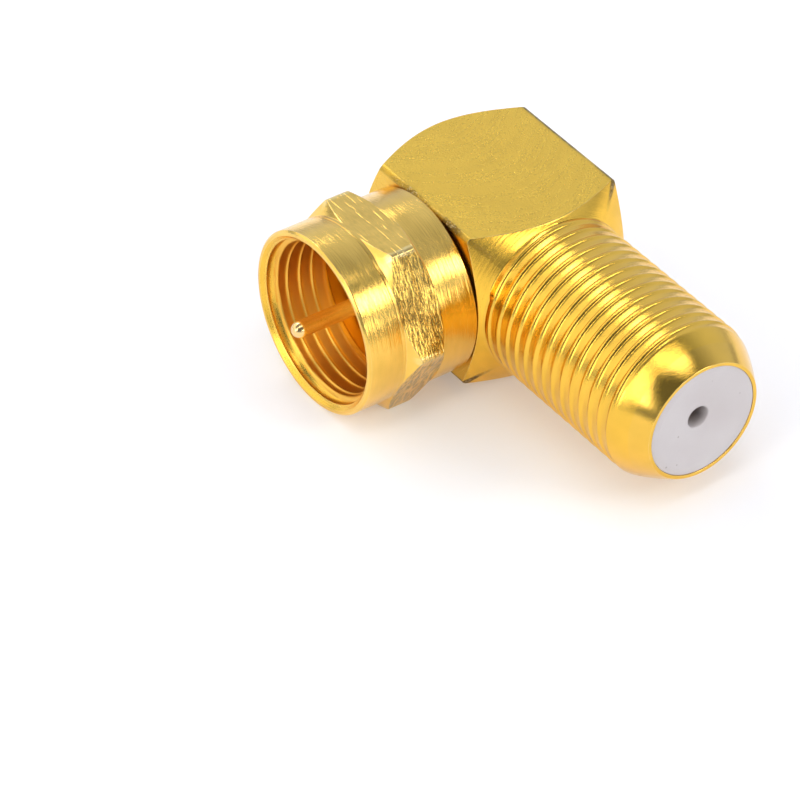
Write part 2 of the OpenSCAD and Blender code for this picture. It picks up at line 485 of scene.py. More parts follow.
@dataclass(frozen=True)
class ThreadForm:
    """Form of one thread, in metres.

    Attributes:
        crest: Radius of the crests.
        start: Where the threaded length starts along the axis.
        length: Threaded length.
        groove_at: Where a groove's bottom passes straight up, along the axis.
        first_turn: Turn at which the first groove starts.
        run_in: Turns over which the first groove reaches its depth.
        side: 1 for a thread on the outside, -1 for one on the inside.
        start_blend: Length over which the grooves grow from nothing at the start.
        start_drop: Depth of the surface at the start.
        start_slope: Slope at which the start's own depth closes.
        end_drop: Depth of the surface at the end.
        end_slope: Slope at which the end's own depth closes.
        lead_share: 1 where a bulged lead cuts the thread, 0 where there is none.
        lead_centre: Distance of the bulge's centre from the axis.
        lead_along: Place of the bulge's centre along the axis.
        lead_bulge: Radius of the bulge.
        pitch: Travel in one turn.
        depth: Depth of the grooves.
        crest_flat: Width of the crests.
        root_round: How round the roots are; 1 leaves straight flanks.
        seam: Depth of the rolling seam along the crests.
    """

    crest: float
    start: float
    length: float
    groove_at: float
    first_turn: float = -9.0
    run_in: float = 0.012
    side: float = 1.0
    start_blend: float = 0.05 * MM
    start_drop: float = -1 * MM
    start_slope: float = 1.0
    end_drop: float = -1 * MM
    end_slope: float = 1.0
    lead_share: float = 0.0
    lead_centre: float = 0.0
    lead_along: float = 0.0
    lead_bulge: float = 1.0
    pitch: float = 0.8 * MM
    depth: float = 0.17 * MM
    crest_flat: float = 0.15 * MM
    root_round: float = 4.0
    seam: float = 0.0

    ROWS = 16
    GATHER = 0.55

    def tree_inputs(self) -> dict[str, float]:
        """Returns the modifier's inputs by name."""
        return {f.name.replace("_", " ").title(): getattr(self, f.name) for f in fields(self)}


class ThreadTree:
    """Geometry Nodes tree that winds a sheet of points into a screw thread about +Z."""

    def __init__(self) -> None:
        """Builds the tree once."""
        sizes = ThreadForm(1.0, 0.0, 1.0, 0.0).tree_inputs()
        inputs = {"Rows": 64, "Finish": "Material", **sizes}
        graph, given, result = new_group("screw_thread", inputs, ["Geometry"], "GeometryNodeTree")
        self.tree = graph.tree
        graph.feed(result[0], self._sheet(graph, given))

    @staticmethod
    def _sheet(g: Graph, given: Sequence[Socket]) -> Socket:
        """Adds sheet, helix, profile, weld and material, and returns the thread."""
        sheet = g.add("GeometryNodeMeshGrid", {0: 1.0, 1: 1.0, "Vertices X": given["Rows"],
                                               "Vertices Y": COLUMNS + 1})
        index = g.add("GeometryNodeInputIndex").outputs[0]
        row = g.math("FLOOR", g.over(g.plus(index, 0.5), COLUMNS + 1))
        column = g.sub(index, g.mul(row, COLUMNS + 1))
        turn = g.over(column, COLUMNS)
        pitch, start = given["Pitch"], given["Start"]
        end = g.plus(start, given["Length"])
        # Rows follow the helix and gather at the crests; the outer ones fold onto the end rings.
        first = g.over(g.sub(start, given["Groove At"]), pitch)
        first = g.over(g.math("FLOOR", g.mul(first, ThreadForm.ROWS)), ThreadForm.ROWS)
        even = g.plus(g.over(row, ThreadForm.ROWS), g.sub(first, 1.0))
        wave = g.math("SINE", g.mul(even, 2 * math.pi))
        wound = g.plus(g.muladd(wave, ThreadForm.GATHER / (2 * math.pi), even), turn)
        along = g.muladd(wound, pitch, given["Groove At"])
        along = g.math("MINIMUM", g.larger(along, start), end)
        from_start, to_end = g.sub(along, start), g.sub(end, along)
        # Distance in turns from the groove that passes straight up at Groove At.
        helix = g.sub(g.over(g.sub(along, given["Groove At"]), pitch), turn)
        nearest = g.math("ROUND", helix)
        from_root = g.mul(g.math("ABSOLUTE", g.sub(helix, nearest)), pitch)
        flank = g.mul(g.sub(pitch, given["Crest Flat"]), 0.5)
        risen = g.power(g.over(from_root, flank, clamp=True), given["Root Round"])
        sunk = g.sub(1.0, risen, clamp=True)
        begun = g.sub(g.plus(nearest, turn), given["First Turn"])
        begun = g.over(begun, given["Run In"], clamp=True)
        near_start = g.over(from_start, given["Start Blend"], clamp=True)
        on_crest = g.over(g.sub(from_root, flank), g.mul(given["Crest Flat"], 0.5))
        dip = g.sub(1.0, g.power(g.sub(1.0, on_crest, clamp=True), 2.0))
        dip = g.mul(g.mul(dip, given["Seam"]), g.math("GREATER_THAN", on_crest, 0.0))
        groove = g.mul(g.muladd(sunk, given["Depth"], dip), g.mul(begun, near_start))
        # The lead is an arc of a large circle that narrows the thread toward its end.
        past = g.power(g.larger(g.sub(along, given["Lead Along"]), 0.0), 2.0)
        reach = g.math("SQRT", g.sub(g.power(given["Lead Bulge"], 2.0), past))
        lead = g.sub(given["Crest"], g.plus(given["Lead Centre"], reach))
        lead = g.mul(lead, given["Lead Share"])
        opening = g.sub(given["Start Drop"], g.mul(from_start, given["Start Slope"]))
        closing = g.sub(given["End Drop"], g.mul(to_end, given["End Slope"]))
        drop = g.larger(g.larger(groove, lead), g.larger(opening, closing))
        radius = g.sub(given["Crest"], g.mul(drop, given["Side"]))
        angle = g.mul(turn, 2 * math.pi)
        place = g.vector(g.mul(radius, g.math("COSINE", angle)),
                         g.mul(radius, g.math("SINE", angle)), along)
        thread = sheet.outputs[0]
        for kind, settings in (("SetPosition", {"Position": place}),
                               ("MergeByDistance", {"Distance": 1e-6}),
                               ("RealizeInstances", {}),
                               ("SetMaterial", {"Material": given["Finish"]})):
            thread = g.add("GeometryNode" + kind, {"Geometry": thread, **settings}).outputs[0]
        return thread

    def wind(self, form: ThreadForm, finish: Material) -> Mesh:
        """Winds one thread and returns it as a plain mesh about +Z.

        Args:
            form: Sizes of the thread.
            finish: Material of the thread.
        """
        carrier = bpy.data.objects.new("thread_carrier", bpy.data.meshes.new("thread_carrier"))
        bpy.context.scene.collection.objects.link(carrier)
        modifier = carrier.modifiers.new("screw_thread", "NODES")
        modifier.node_group = self.tree
        rows = math.ceil((form.length / form.pitch + 2) * ThreadForm.ROWS) + 2
        given = {**form.tree_inputs(), "Rows": rows, "Finish": finish}
        for item in self.tree.interface.items_tree:
            if item.item_type == "SOCKET" and item.in_out == "INPUT":
                modifier[item.identifier] = given[item.name]
        evaluated = carrier.evaluated_get(bpy.context.evaluated_depsgraph_get())
        mesh = bpy.data.meshes.new_from_object(evaluated)
        bpy.data.objects.remove(carrier)
        zones = np.full(len(mesh.polygons), int(Zone.THREAD), np.int32)
        mesh.polygons.foreach_set("material_index", zones)
        for label in ("edge", "burr"):
            layer = mesh.attributes.new(label, "FLOAT", "POINT")
            layer.data.foreach_set("value", np.zeros(len(mesh.vertices), np.float32))
        return mesh


# ---------------------------------------------------------------- finishes


class Effects:
    """Shader node groups that several finishes share."""

    def __init__(self) -> None:
        """Builds every group once."""
        self.lines = self._turning_lines()
        self.specks = self._specks()
        self.wear = self._edge_wear()
        self.grain = self._grain()

    @staticmethod
    def _turning_lines() -> Tree:
        """Rings left by a lathe tool, as fine lines round +Z that break up here and there."""
        g, given, result = new_group(
            "turning_lines", {"Vector": "Vector", "Lines": 8000.0, "Breaks": 3.0, "Facing": 1.37},
            ["Fine", "Broad"])
        parts = g.split(given["Vector"])
        radius = g.math("SQRT", g.plus(g.power(parts[0], 2.0), g.power(parts[1], 2.0)))
        safe = g.larger(radius, 1e-5)
        travel = g.mul(g.muladd(radius, given["Facing"], parts[2]), given["Lines"])
        east = g.mul(g.over(parts[0], safe), given["Breaks"])
        north = g.mul(g.over(parts[1], safe), given["Breaks"])
        fine = g.vector(travel, east, north)
        slow = g.vector(g.mul(travel, 0.17), east, north)
        g.feed(result["Fine"], g.noise(fine, 1.0, 3.0, 0.6))
        g.feed(result["Broad"], g.noise(slow, 1.0, 1.0, 0.5))
        return g.tree

    @staticmethod
    def _specks() -> Tree:
        """Small scattered spots: pits and dirt, and bright specks of painted glint."""
        g, given, result = new_group(
            "specks", {"Vector": "Vector", "Scale": 3000.0, "Size": 0.16, "Share": 0.1}, ["Mask"])
        cells = g.add("ShaderNodeTexVoronoi", {"Vector": given["Vector"], "Scale": given["Scale"],
                                               "Randomness": 1.0}).outputs
        dice = g.add("ShaderNodeSeparateColor", {0: cells["Color"]}).outputs[0]
        chosen = g.math("LESS_THAN", dice, given["Share"])
        near = g.sub(1.0, g.over(cells["Distance"], given["Size"], clamp=True))
        g.feed(result["Mask"], g.mul(chosen, g.ramp(near, 0.0, 0.5)))
        return g.tree

    @staticmethod
    def _edge_wear() -> Tree:
        """Turns the edge value into rubbed plating, and on creased corners a painted highlight
        line; turns the burr value into a raw sawn edge with painted glints.
        """
        g, given, result = new_group(
            "edge_wear", {"Vector": "Vector", "Scale": 2500.0, "Amount": 0.6},
            ["Mask", "Burr", "Spark"])
        edge = g.add("ShaderNodeAttribute", attribute_name="edge").outputs["Fac"]
        burr = g.add("ShaderNodeAttribute", attribute_name="burr").outputs["Fac"]
        vector, scale = given["Vector"], given["Scale"]
        broken = g.noise(vector, scale, 2.0)
        shown = g.mul(g.ramp(edge, 0.2, 0.9), g.muladd(broken, 0.7, 0.3))
        g.feed(result["Mask"], g.mul(shown, given["Amount"], clamp=True))
        torn = g.noise(vector, g.mul(scale, 3.2), 3.0, 0.7)
        patch = g.noise(vector, g.mul(scale, 0.16), 2.0)
        raw = g.mul(g.ramp(burr, 0.1, 0.7), g.muladd(torn, 0.7, 0.5), clamp=True)
        g.feed(result["Burr"], g.mul(raw, g.muladd(patch, 1.2, 0.3), clamp=True))
        # Painted glints: bright gold bits scattered over the raw edge.
        bits = g.noise(vector, g.mul(scale, 5.0), 1.0)
        edge_glint = g.mul(g.ramp(bits, 0.75, 0.9), g.ramp(burr, 0.1, 0.8))
        g.feed(result["Spark"], g.mul(edge_glint, g.mul(patch, 0.7)))
        return g.tree

    @staticmethod
    def _grain() -> Tree:
        """Fine even grain of a plated surface, and slow clouds of tone."""
        g, given, result = new_group("plating_grain", {"Vector": "Vector", "Scale": 9000.0},
                                     ["Grain", "Cloud"])
        vector, scale = given["Vector"], given["Scale"]
        g.feed(result["Grain"], g.noise(vector, scale, 3.0, 0.7))
        g.feed(result["Cloud"], g.noise(vector, g.mul(scale, 0.05), 2.0))
        return g.tree


@dataclass(frozen=True)
class Plating:
    """Gold plating over one kind of machined surface.

    Attributes:
        name: Name of the material.
        gold: Colour of the bright plating.
        deep: Colour where the plating lies dull, thin or dirty, and the colour of the painted shade
            in the hollows of the lines.
        rough: Lowest and highest roughness.
        lines: Turning lines per metre.
        breaks: How often a line breaks up round the axis.
        facing: Share of the radius in the lines' travel; 0 leaves straight milling lines.
        line_depth: Depth of the turning lines in metres.
        grain_scale: Size of the grain, as a noise scale.
        grain_depth: Depth of the grain in metres.
        specks: Share of cells with a bright speck, a painted glint.
        dirt: Share of cells with a small dark spot.
        edge: Strength of the rubbed edge, and of the painted highlight line on creased corners.
        edge_gold: Colour of the rubbed edge, and of the painted highlight line on creased corners.
        dull: How much of the deep colour the lines and clouds bring in.
        ridges: Height of the few deep marks that run right round, in metres.
        streaks: How much painted shade, in the deep colour, lies in the hollows of the lines.
        rubbed_top: True where the flat that faces up at rest is rubbed smoother than the others and
            keeps little of the painted shade, so it stays lighter.
    """

    name: str
    gold: tuple = (1.0, 0.59, 0.07)
    deep: tuple = (0.5, 0.27, 0.03)
    rough: tuple[float, float] = (0.2, 0.35)
    lines: float = 6000.0
    breaks: float = 2.0
    facing: float = 1.37
    line_depth: float = 2e-6
    grain_scale: float = 12000.0
    grain_depth: float = 1e-6
    specks: float = 0.0
    dirt: float = 0.01
    edge: float = 0.6
    edge_gold: tuple = (1.0, 0.8, 0.36)
    dull: float = 0.3
    ridges: float = 0.0
    streaks: float = 0.0
    rubbed_top: bool = False

    SPECK_GOLD = (1.0, 0.84, 0.4, 1)
    DIRT_BROWN = (0.16, 0.07, 0.01, 1)
    RAW_BROWN = (0.17, 0.1, 0.02, 1)
    SPARK_GOLD = (1.0, 0.85, 0.5, 1)
    RIDGES_PER_METRE = 3200.0
    RUBBED_SHARE = 0.12
    HOLLOW, RIDGE, FACES_UP = (0.58, 0.44), (0.58, 0.68), (0.65, 0.95)
    SPECK_SCALE, DIRT_SCALE, DIRT_SIZE = 7000.0, 2600.0, 0.13
    EDGE_ROUGH, DIRT_ROUGH, RAW_ROUGH, SPECK_ROUGH = 0.2, 0.6, 0.42, 0.45

    def build(self, effects: Effects, axis: Axis, height: float) -> Material:
        """Builds the material.

        Args:
            effects: The shared node groups.
            axis: The axis the surface was turned about.
            height: Height of both axes above the origin.
        """
        material, g, shader = new_material(self.name)
        coords = g.add("ShaderNodeTexCoord").outputs["Object"]
        location, rotation = axis.mapping(height)
        turned = g.add("ShaderNodeMapping", {0: coords, 1: location, 2: rotation}).outputs[0]
        lines = g.group(effects.lines, Vector=turned, Lines=self.lines, Breaks=self.breaks,
                        Facing=self.facing).outputs
        grain = g.group(effects.grain, Vector=coords, Scale=self.grain_scale).outputs
        wear = g.group(effects.wear, Vector=coords, Amount=self.edge).outputs
        dull = g.mul(g.lerp(0.5, lines["Broad"], grain["Cloud"]), self.dull)
        colour = g.blend(dull, (*self.gold, 1), (*self.deep, 1))
        # The flat that faces up keeps little relief and little painted shade, so it stays lighter.
        relief_and_shade_share = self._rubbing(g)
        # Painted shade: the deep colour laid into the hollows of the fine lines, less on an
        # up-facing flat.
        if self.streaks > 0:
            grains = g.muladd(grain["Grain"], 1.6, -0.8)
            hollow = g.plus(g.ramp(lines["Fine"], *self.HOLLOW), grains)
            shown = g.mul(g.mul(hollow, self.streaks), relief_and_shade_share, clamp=True)
            colour = g.blend(shown, colour, (*self.deep, 1))
        rough = g.lerp(g.lerp(0.5, lines["Fine"], grain["Grain"]), self.rough[0], self.rough[1])
        relief = g.mul(lines["Fine"], self.line_depth)
        relief = g.plus(relief, g.mul(grain["Grain"], self.grain_depth))
        if self.ridges > 0:
            marks = g.group(effects.lines, Vector=turned, Lines=self.RIDGES_PER_METRE, Breaks=0.7,
                            Facing=0.0).outputs["Fine"]
            relief = g.muladd(g.ramp(marks, *self.RIDGE), self.ridges, relief)
        # Bright specks of paler gold: painted glints.
        if self.specks > 0:
            specks = g.group(effects.specks, Vector=coords, Scale=self.SPECK_SCALE,
                             Share=self.specks).outputs[0]
            colour = g.blend(g.mul(specks, 0.85), colour, self.SPECK_GOLD)
            rough = g.lerp(specks, rough, self.SPECK_ROUGH)
        if self.dirt > 0:
            spot = g.group(effects.specks, Vector=coords, Scale=self.DIRT_SCALE,
                           Share=self.dirt, Size=self.DIRT_SIZE).outputs[0]
            colour = g.blend(g.mul(spot, 0.8), colour, self.DIRT_BROWN)
            rough = g.lerp(spot, rough, self.DIRT_ROUGH)
        # Paler gold along rounded edges: rubbed plating; along creased hex corners a painted
        # highlight line.
        colour = g.blend(wear["Mask"], colour, (*self.edge_gold, 1))
        rough = g.lerp(wear["Mask"], rough, self.EDGE_ROUGH)
        colour = g.blend(wear["Burr"], colour, self.RAW_BROWN)
        rough = g.lerp(wear["Burr"], rough, self.RAW_ROUGH)
        # Painted glints over the raw edge.
        colour = g.blend(wear["Spark"], colour, self.SPARK_GOLD)
        relief = g.mul(relief, relief_and_shade_share)
        dress(g, shader, colour, rough, relief)
        shader["Metallic"].default_value = 1.0
        return material

    def _rubbing(self, g: Graph) -> Value:
        """Returns the share of relief and of painted shade: 1, or little where a rubbed flat faces
        up at rest.
        """
        if not self.rubbed_top:
            return 1.0
        own_normal = g.add("ShaderNodeTexCoord").outputs["Normal"]
        return g.ramp(g.split(own_normal)[2], *self.FACES_UP, (1.0, self.RUBBED_SHARE))


@dataclass(frozen=True)
class Plastic:
    """Smooth moulded plastic with a faint mottle.

    Attributes:
        name: Name of the material.
        colour: Main colour.
        shade: Colour of the mottle.
        rough: Roughness.
        flecks: Share of cells with a small brown fleck of dirt.
    """

    name: str
    colour: tuple = (0.72, 0.68, 0.74)
    shade: tuple = (0.62, 0.56, 0.6)
    rough: float = 0.4
    flecks: float = 0.0

    FLECK_BROWN = (0.2, 0.13, 0.08, 1)
    FLECK_SCALE, FLECK_SIZE = 1100.0, 0.09
    GRAIN_SCALE = 8000.0
    GRAIN_DEPTH = 4e-7

    def build(self, effects: Effects) -> Material:
        """Builds the material from the shared groups."""
        material, g, shader = new_material(self.name)
        coords = g.add("ShaderNodeTexCoord").outputs["Object"]
        grain = g.group(effects.grain, Vector=coords, Scale=self.GRAIN_SCALE).outputs
        colour = g.blend(g.mul(grain["Cloud"], 0.35), (*self.colour, 1), (*self.shade, 1))
        if self.flecks > 0:
            spot = g.group(effects.specks, Vector=coords, Scale=self.FLECK_SCALE,
                           Share=self.flecks, Size=self.FLECK_SIZE).outputs[0]
            colour = g.blend(g.mul(spot, 0.55), colour, self.FLECK_BROWN)
        rough = g.lerp(grain["Grain"], self.rough - 0.05, self.rough + 0.08)
        dress(g, shader, colour, rough, g.mul(grain["Grain"], self.GRAIN_DEPTH))
        return material


# ---------------------------------------------------------------- the adapter's pieces


@dataclass
class ElbowBody:
    """Square block with turned cones, threaded barrel and rounded nose, all one piece."""

    height: float
    half: float = 4.9 * MM
    edge_r: float = 0.3 * MM
    back: float = 5.55 * MM
    front: float = 5.12 * MM
    rear_face: float = 4.85 * MM
    front_cone: float = 32.0
    rear_cone: float = 36.0
    thread_r: float = 4.7 * MM
    end: float = 18.1 * MM
    lead_len: float = 2.2 * MM
    lead_bulge: float = 11.0 * MM
    thread_end: float = 17.1 * MM
    first_groove: float = 66.0
    groove_at: float = 4.96 * MM
    bore_r: float = 3.3 * MM
    bore_back: float = 3.6 * MM
    seat_r: float = 3.44 * MM
    seat_back: float = 14.7 * MM
    rim_r: float = 3.56 * MM
    opening_r: float = 3.36 * MM
    rim_t: float = 0.22 * MM
    soft: float = 0.09 * MM
    seam: float = 0.05 * MM
    raw_share: float = 0.4

    def lead_arc(self) -> tuple[float, float]:
        """Returns the bulge centre's distance from the axis and its place along the axis."""
        start = Vector((self.thread_r, self.end - self.lead_len))
        chord = Vector((self.rim_r, self.end)) - start
        inward = Vector((-chord.y, chord.x)).normalized()
        offset = math.sqrt(self.lead_bulge**2 - (chord.length / 2) ** 2)
        return tuple(start + chord / 2 + inward * offset)

    def build(self, threads: ThreadTree, finishes: Sequence[Material]) -> Piece:
        """Builds the body and lays it on the barrel axis.

        Args:
            threads: The tree that winds the barrel's thread.
            finishes: Materials in the order of Zone.
        """
        corner_from = math.atan2(self.half - self.edge_r, self.half)
        gathered = gathered_angles(sides=4, corner_from=corner_from, share=1 / 6)
        side = bar_radius(gathered, sides=4, across=2 * self.half, rounding=self.edge_r)
        rear_slope = math.tan(math.radians(self.rear_cone))
        front_slope = math.tan(math.radians(self.front_cone))
        rear = -self.back + (side - self.rear_face) * rear_slope
        fore = self.front - (side - self.thread_r) * front_slope
        tip = (self.half - self.edge_r) * math.sqrt(2) + self.edge_r
        raw = np.clip(1 - (tip - side) / (self.raw_share * self.edge_r), 0, 1)
        block = TurnedShell().add([
            Corner(0.0, -self.back, angles=gathered),
            Corner(self.rear_face * 0.5, -self.back),
            Corner(self.rear_face, -self.back, self.soft, Zone.TURNED),
            Corner(side, rear, self.soft, Zone.MAIN, burr=raw),
            Corner(side, fore, self.soft, Zone.TURNED, burr=raw),
            Corner(self.thread_r + self.seam, self.front - self.seam * front_slope, 0, Zone.TURNED),
            Corner(self.thread_r, self.front, 0, Zone.THREAD, even_angles()),
        ])
        centre, at = self.lead_arc()
        lead = [Corner(centre + math.sqrt(self.lead_bulge**2 - (y - at) ** 2), y, 0, Zone.POLISHED)
                for y in np.linspace(self.thread_end, self.end - self.seam, 10)]
        barrel = TurnedShell().add([
            *lead,
            Corner(self.rim_r, self.end, 0.04 * MM, Zone.POLISHED),
            Corner(self.opening_r, self.end, 0.03 * MM, Zone.POLISHED),
            Corner(self.opening_r, self.end - self.rim_t, 0, Zone.INSIDE),
            Corner(self.seat_r, self.end - self.rim_t, 0, Zone.INSIDE),
            Corner(self.seat_r, self.seat_back, 0, Zone.INSIDE),
            Corner(self.bore_r, self.seat_back, 0, Zone.INSIDE),
            Corner(self.bore_r, -self.bore_back, 0, Zone.INSIDE),
            Corner(0.0, -self.bore_back, 0, Zone.INSIDE),
        ])
        form = ThreadForm(crest=self.thread_r, start=self.front,
                          length=self.thread_end - self.front, groove_at=self.groove_at,
                          first_turn=self.first_groove / 360, seam=0.02 * MM, depth=0.12 * MM,
                          crest_flat=0.08 * MM, root_round=5.0,
                          lead_share=1.0, lead_centre=centre, lead_along=at,
                          lead_bulge=self.lead_bulge)
        thread = threads.wind(form, finishes[Zone.THREAD])
        return piece_from("elbow_shell", [block.mesh("block"), barrel.mesh("barrel"), thread],
                          Axis.BARREL.matrix(self.height), finishes)


@dataclass
class CouplingNut:
    """Captive hexagon nut with two turned cylinders and an internal thread."""

    height: float
    back: float = 5.05 * MM
    mouth: float = 12.1 * MM
    turned_r: float = 5.25 * MM
    across: float = 10.4 * MM
    corner_r: float = 5.96 * MM
    hex_mid: float = 8.52 * MM
    land: float = 1.42 * MM
    cone: float = 35.0
    crest_r: float = 4.35 * MM
    lead_r: float = 4.77 * MM
    lead_len: float = 0.7 * MM
    rim_r: float = 4.97 * MM
    step_r: float = 4.7 * MM
    step_len: float = 0.2 * MM
    step_bevel: float = 0.04 * MM
    scribe: float = 0.18 * MM
    scribe_half: float = 0.03 * MM
    scribe_depth: float = 0.02 * MM
    first_groove: float = 0.48 * MM
    corner_from: float = 28.6
    ridge_depth: float = 0.05 * MM
    recess_r: float = 4.56 * MM
    recess_front: float = 8.0 * MM
    lip_front: float = 6.15 * MM
    lip_r: float = 3.65 * MM
    edge: float = 0.12 * MM
    soft: float = 0.05 * MM

    def build(self, threads: ThreadTree, finishes: Sequence[Material]) -> Piece:
        """Builds the nut and lays it on the nut axis.

        Args:
            threads: The tree that winds the internal thread.
            finishes: Materials in the order of Zone.
        """
        angles = gathered_angles(sides=6, corner_from=math.radians(self.corner_from), share=0.2)
        side = bar_radius(angles, sides=6, across=self.across, rounding=0.0)
        side = np.minimum(side, self.corner_r)
        slope = math.tan(math.radians(self.cone))
        rise = (side - self.turned_r) * slope
        full = (self.corner_r - self.turned_r) * slope
        foot = self.land / 2 + full
        ring = self.hex_mid + foot + self.scribe
        cut = np.where(side < self.turned_r, rise, 0.0)
        # Painted highlight: the hex corners get the edge value, so the edge finish draws a pale
        # line along them.
        highlight_ridge = (side > self.corner_r - self.ridge_depth).astype(float)
        outside = [
            Corner(self.lip_r, self.back, 0.04 * MM, Zone.TURNED, even_angles()),
            Corner(self.turned_r - self.edge, self.back, 0.03 * MM, Zone.TURNED, angles),
            Corner(self.turned_r, self.back + self.edge, 0.03 * MM, Zone.TURNED),
            Corner(self.turned_r, self.hex_mid - foot + cut, self.soft, Zone.POLISHED),
            Corner(side, self.hex_mid - foot + rise, self.soft, Zone.MILLED, crease=highlight_ridge),
            Corner(side, self.hex_mid + foot - rise, self.soft, Zone.POLISHED, crease=highlight_ridge),
            Corner(self.turned_r, self.hex_mid + foot - cut, self.soft, Zone.TURNED),
            Corner(self.turned_r, ring, 0.012 * MM, Zone.TURNED),
            Corner(self.turned_r - self.scribe_depth, ring + self.scribe_half, 0.01 * MM,
                   Zone.TURNED),
            Corner(self.turned_r, ring + 2 * self.scribe_half, 0.012 * MM, Zone.TURNED),
            Corner(self.turned_r, self.mouth - self.edge, 0.05 * MM, Zone.TURNED),
            Corner(self.turned_r - self.edge, self.mouth, 0.05 * MM, Zone.POLISHED),
            Corner(self.rim_r, self.mouth, 0.03 * MM, Zone.MAIN, even_angles()),
            Corner(self.lead_r, self.mouth - self.step_len, 0.1 * MM, Zone.MAIN),
            Corner(self.step_r, self.mouth - self.step_len - self.step_bevel, 0.03 * MM, Zone.MAIN),
            Corner(self.step_r, self.mouth - self.lead_len, 0, Zone.THREAD),
        ]
        inside = [
            Corner(self.recess_r, self.recess_front, 0, Zone.INSIDE),
            Corner(self.recess_r, self.lip_front, 0.05 * MM, Zone.INSIDE),
            Corner(self.lip_r, self.lip_front, 0.04 * MM, Zone.INSIDE),
            Corner(self.lip_r, self.back, 0, Zone.INSIDE),
        ]
        start, stop = self.recess_front, self.mouth - self.lead_len
        form = ThreadForm(crest=self.crest_r, start=start, length=stop - start,
                          groove_at=start + self.first_groove, side=-1.0, start_blend=0.9 * MM,
                          start_drop=self.recess_r - self.crest_r,
                          end_drop=self.step_r - self.crest_r, end_slope=3.0, depth=0.09 * MM,
                          crest_flat=0.06 * MM, root_round=6.0)
        thread = threads.wind(form, finishes[Zone.THREAD])
        outer, inner = TurnedShell().add(outside), TurnedShell().add(inside)
        return piece_from("nut_shell", [outer.mesh("outside"), inner.mesh("inside"), thread],
                          Axis.NUT.matrix(self.height), finishes)


@dataclass
class CentrePin:
    """Turned contact pin with a collar in its sleeve and a blunt point."""

    height: float
    radius: float = 0.475 * MM
    collar_r: float = 0.8 * MM
    tail: float = -0.9 * MM
    collar_back: float = 3.4 * MM
    collar_front: float = 6.8 * MM
    tip: float = 13.4 * MM
    point: float = 0.55 * MM
    bluntness: float = 0.8

    def build(self, finish: Material) -> Piece:
        """Builds the pin and lays it on the nut axis."""
        point = [Corner(self.radius * math.cos(t) ** self.bluntness,
                        self.tip - self.point * (1 - math.sin(t)))
                 for t in np.linspace(0, math.pi / 2, 12)]
        shell = TurnedShell(columns=96).add([
            Corner(0.0, self.tail),
            Corner(self.radius, self.tail, 0.06 * MM),
            Corner(self.radius, self.collar_back),
            Corner(self.collar_r, self.collar_back, 0.04 * MM),
            Corner(self.collar_r, self.collar_front, 0.04 * MM),
            Corner(self.radius, self.collar_front),
            *point,
        ])
        return piece_from("pin_shell", [shell.mesh("pin")], Axis.NUT.matrix(self.height), [finish])


@dataclass
class Ferrule:
    """Flanged tube that carries the nut, and the white sleeve pressed into it."""

    height: float
    back: float = 3.4 * MM
    block: float = 4.9 * MM
    flange_back: float = 6.25 * MM
    flange_front: float = 6.95 * MM
    press_r: float = 3.0 * MM
    tube_r: float = 3.6 * MM
    flange_r: float = 4.2 * MM
    sleeve_r: float = 2.4 * MM
    sleeve_front: float = 6.8 * MM
    pin_r: float = 0.8 * MM

    def build_tube(self, finish: Material) -> Piece:
        """Builds the flanged tube."""
        shell = TurnedShell(columns=144).add([
            Corner(self.sleeve_r, self.back),
            Corner(self.press_r, self.back, 0.05 * MM),
            Corner(self.press_r, self.block),
            Corner(self.tube_r, self.block),
            Corner(self.tube_r, self.flange_back),
            Corner(self.flange_r, self.flange_back, 0.06 * MM),
            Corner(self.flange_r, self.flange_front, 0.1 * MM),
            Corner(self.sleeve_r, self.flange_front, 0.06 * MM),
            Corner(self.sleeve_r, self.back),
        ])
        return piece_from("ferrule_shell", [shell.mesh("tube")], Axis.NUT.matrix(self.height),
                          [finish])

    def build_sleeve(self, finish: Material) -> Piece:
        """Builds the white sleeve."""
        shell = TurnedShell(columns=144).add([
            Corner(self.pin_r, self.back),
            Corner(self.sleeve_r, self.back, 0.05 * MM),
            Corner(self.sleeve_r, self.sleeve_front, 0.08 * MM),
            Corner(self.pin_r, self.sleeve_front, 0.05 * MM),
            Corner(self.pin_r, self.back),
        ])
        return piece_from("sleeve_shell", [shell.mesh("sleeve")], Axis.NUT.matrix(self.height),
                          [finish])


@dataclass
class FaceInsulator:
    """White plug with a shallow dish that closes the barrel's end."""

    height: float
    front: float = 18.06 * MM
    back: float = 14.7 * MM
    seat_r: float = 3.44 * MM
    seat_front: float = 17.88 * MM
    face_r: float = 3.36 * MM
    dish_r: float = 2.9 * MM
    dish: float = 0.36 * MM
    hole_r: float = 0.65 * MM
    contact_r: float = 1.26 * MM
    contact_front: float = 15.9 * MM

    def build(self, finish: Material) -> Piece:
        """Builds the plug and lays it on the barrel axis."""
        dish_mid = (self.dish_r + self.hole_r) / 2
        shell = TurnedShell(columns=192).add([
            Corner(self.contact_r, self.back),
            Corner(self.seat_r, self.back, 0.05 * MM),
            Corner(self.seat_r, self.seat_front, 0.04 * MM),
            Corner(self.face_r, self.seat_front),
            Corner(self.face_r, self.front, 0.06 * MM),
            Corner(self.dish_r, self.front, 0.5 * MM),
            Corner(dish_mid, self.front - self.dish * 0.5),
            Corner(self.hole_r, self.front - self.dish, 0.08 * MM),
            Corner(self.hole_r, self.contact_front),
            Corner(self.contact_r, self.contact_front),
            Corner(self.contact_r, self.back),
        ])
        return piece_from("face_plug", [shell.mesh("plug")], Axis.BARREL.matrix(self.height),
                          [finish])


# ---------------------------------------------------------------- studio


@dataclass(frozen=True)
class SoftPanel:
    """One soft light panel of the studio, by its direction from the adapter, in degrees.

    Attributes:
        azimuth: Middle of the panel, from +X toward +Y.
        spread: Width of the panel in azimuth.
        low: Elevation of its lower edge.
        high: Elevation of its upper edge.
        radiance: Brightness of the panel.
        soft: Width of its blurred edges.
    """

    azimuth: float
    spread: float
    low: float
    high: float
    radiance: float
    soft: float = 3.0


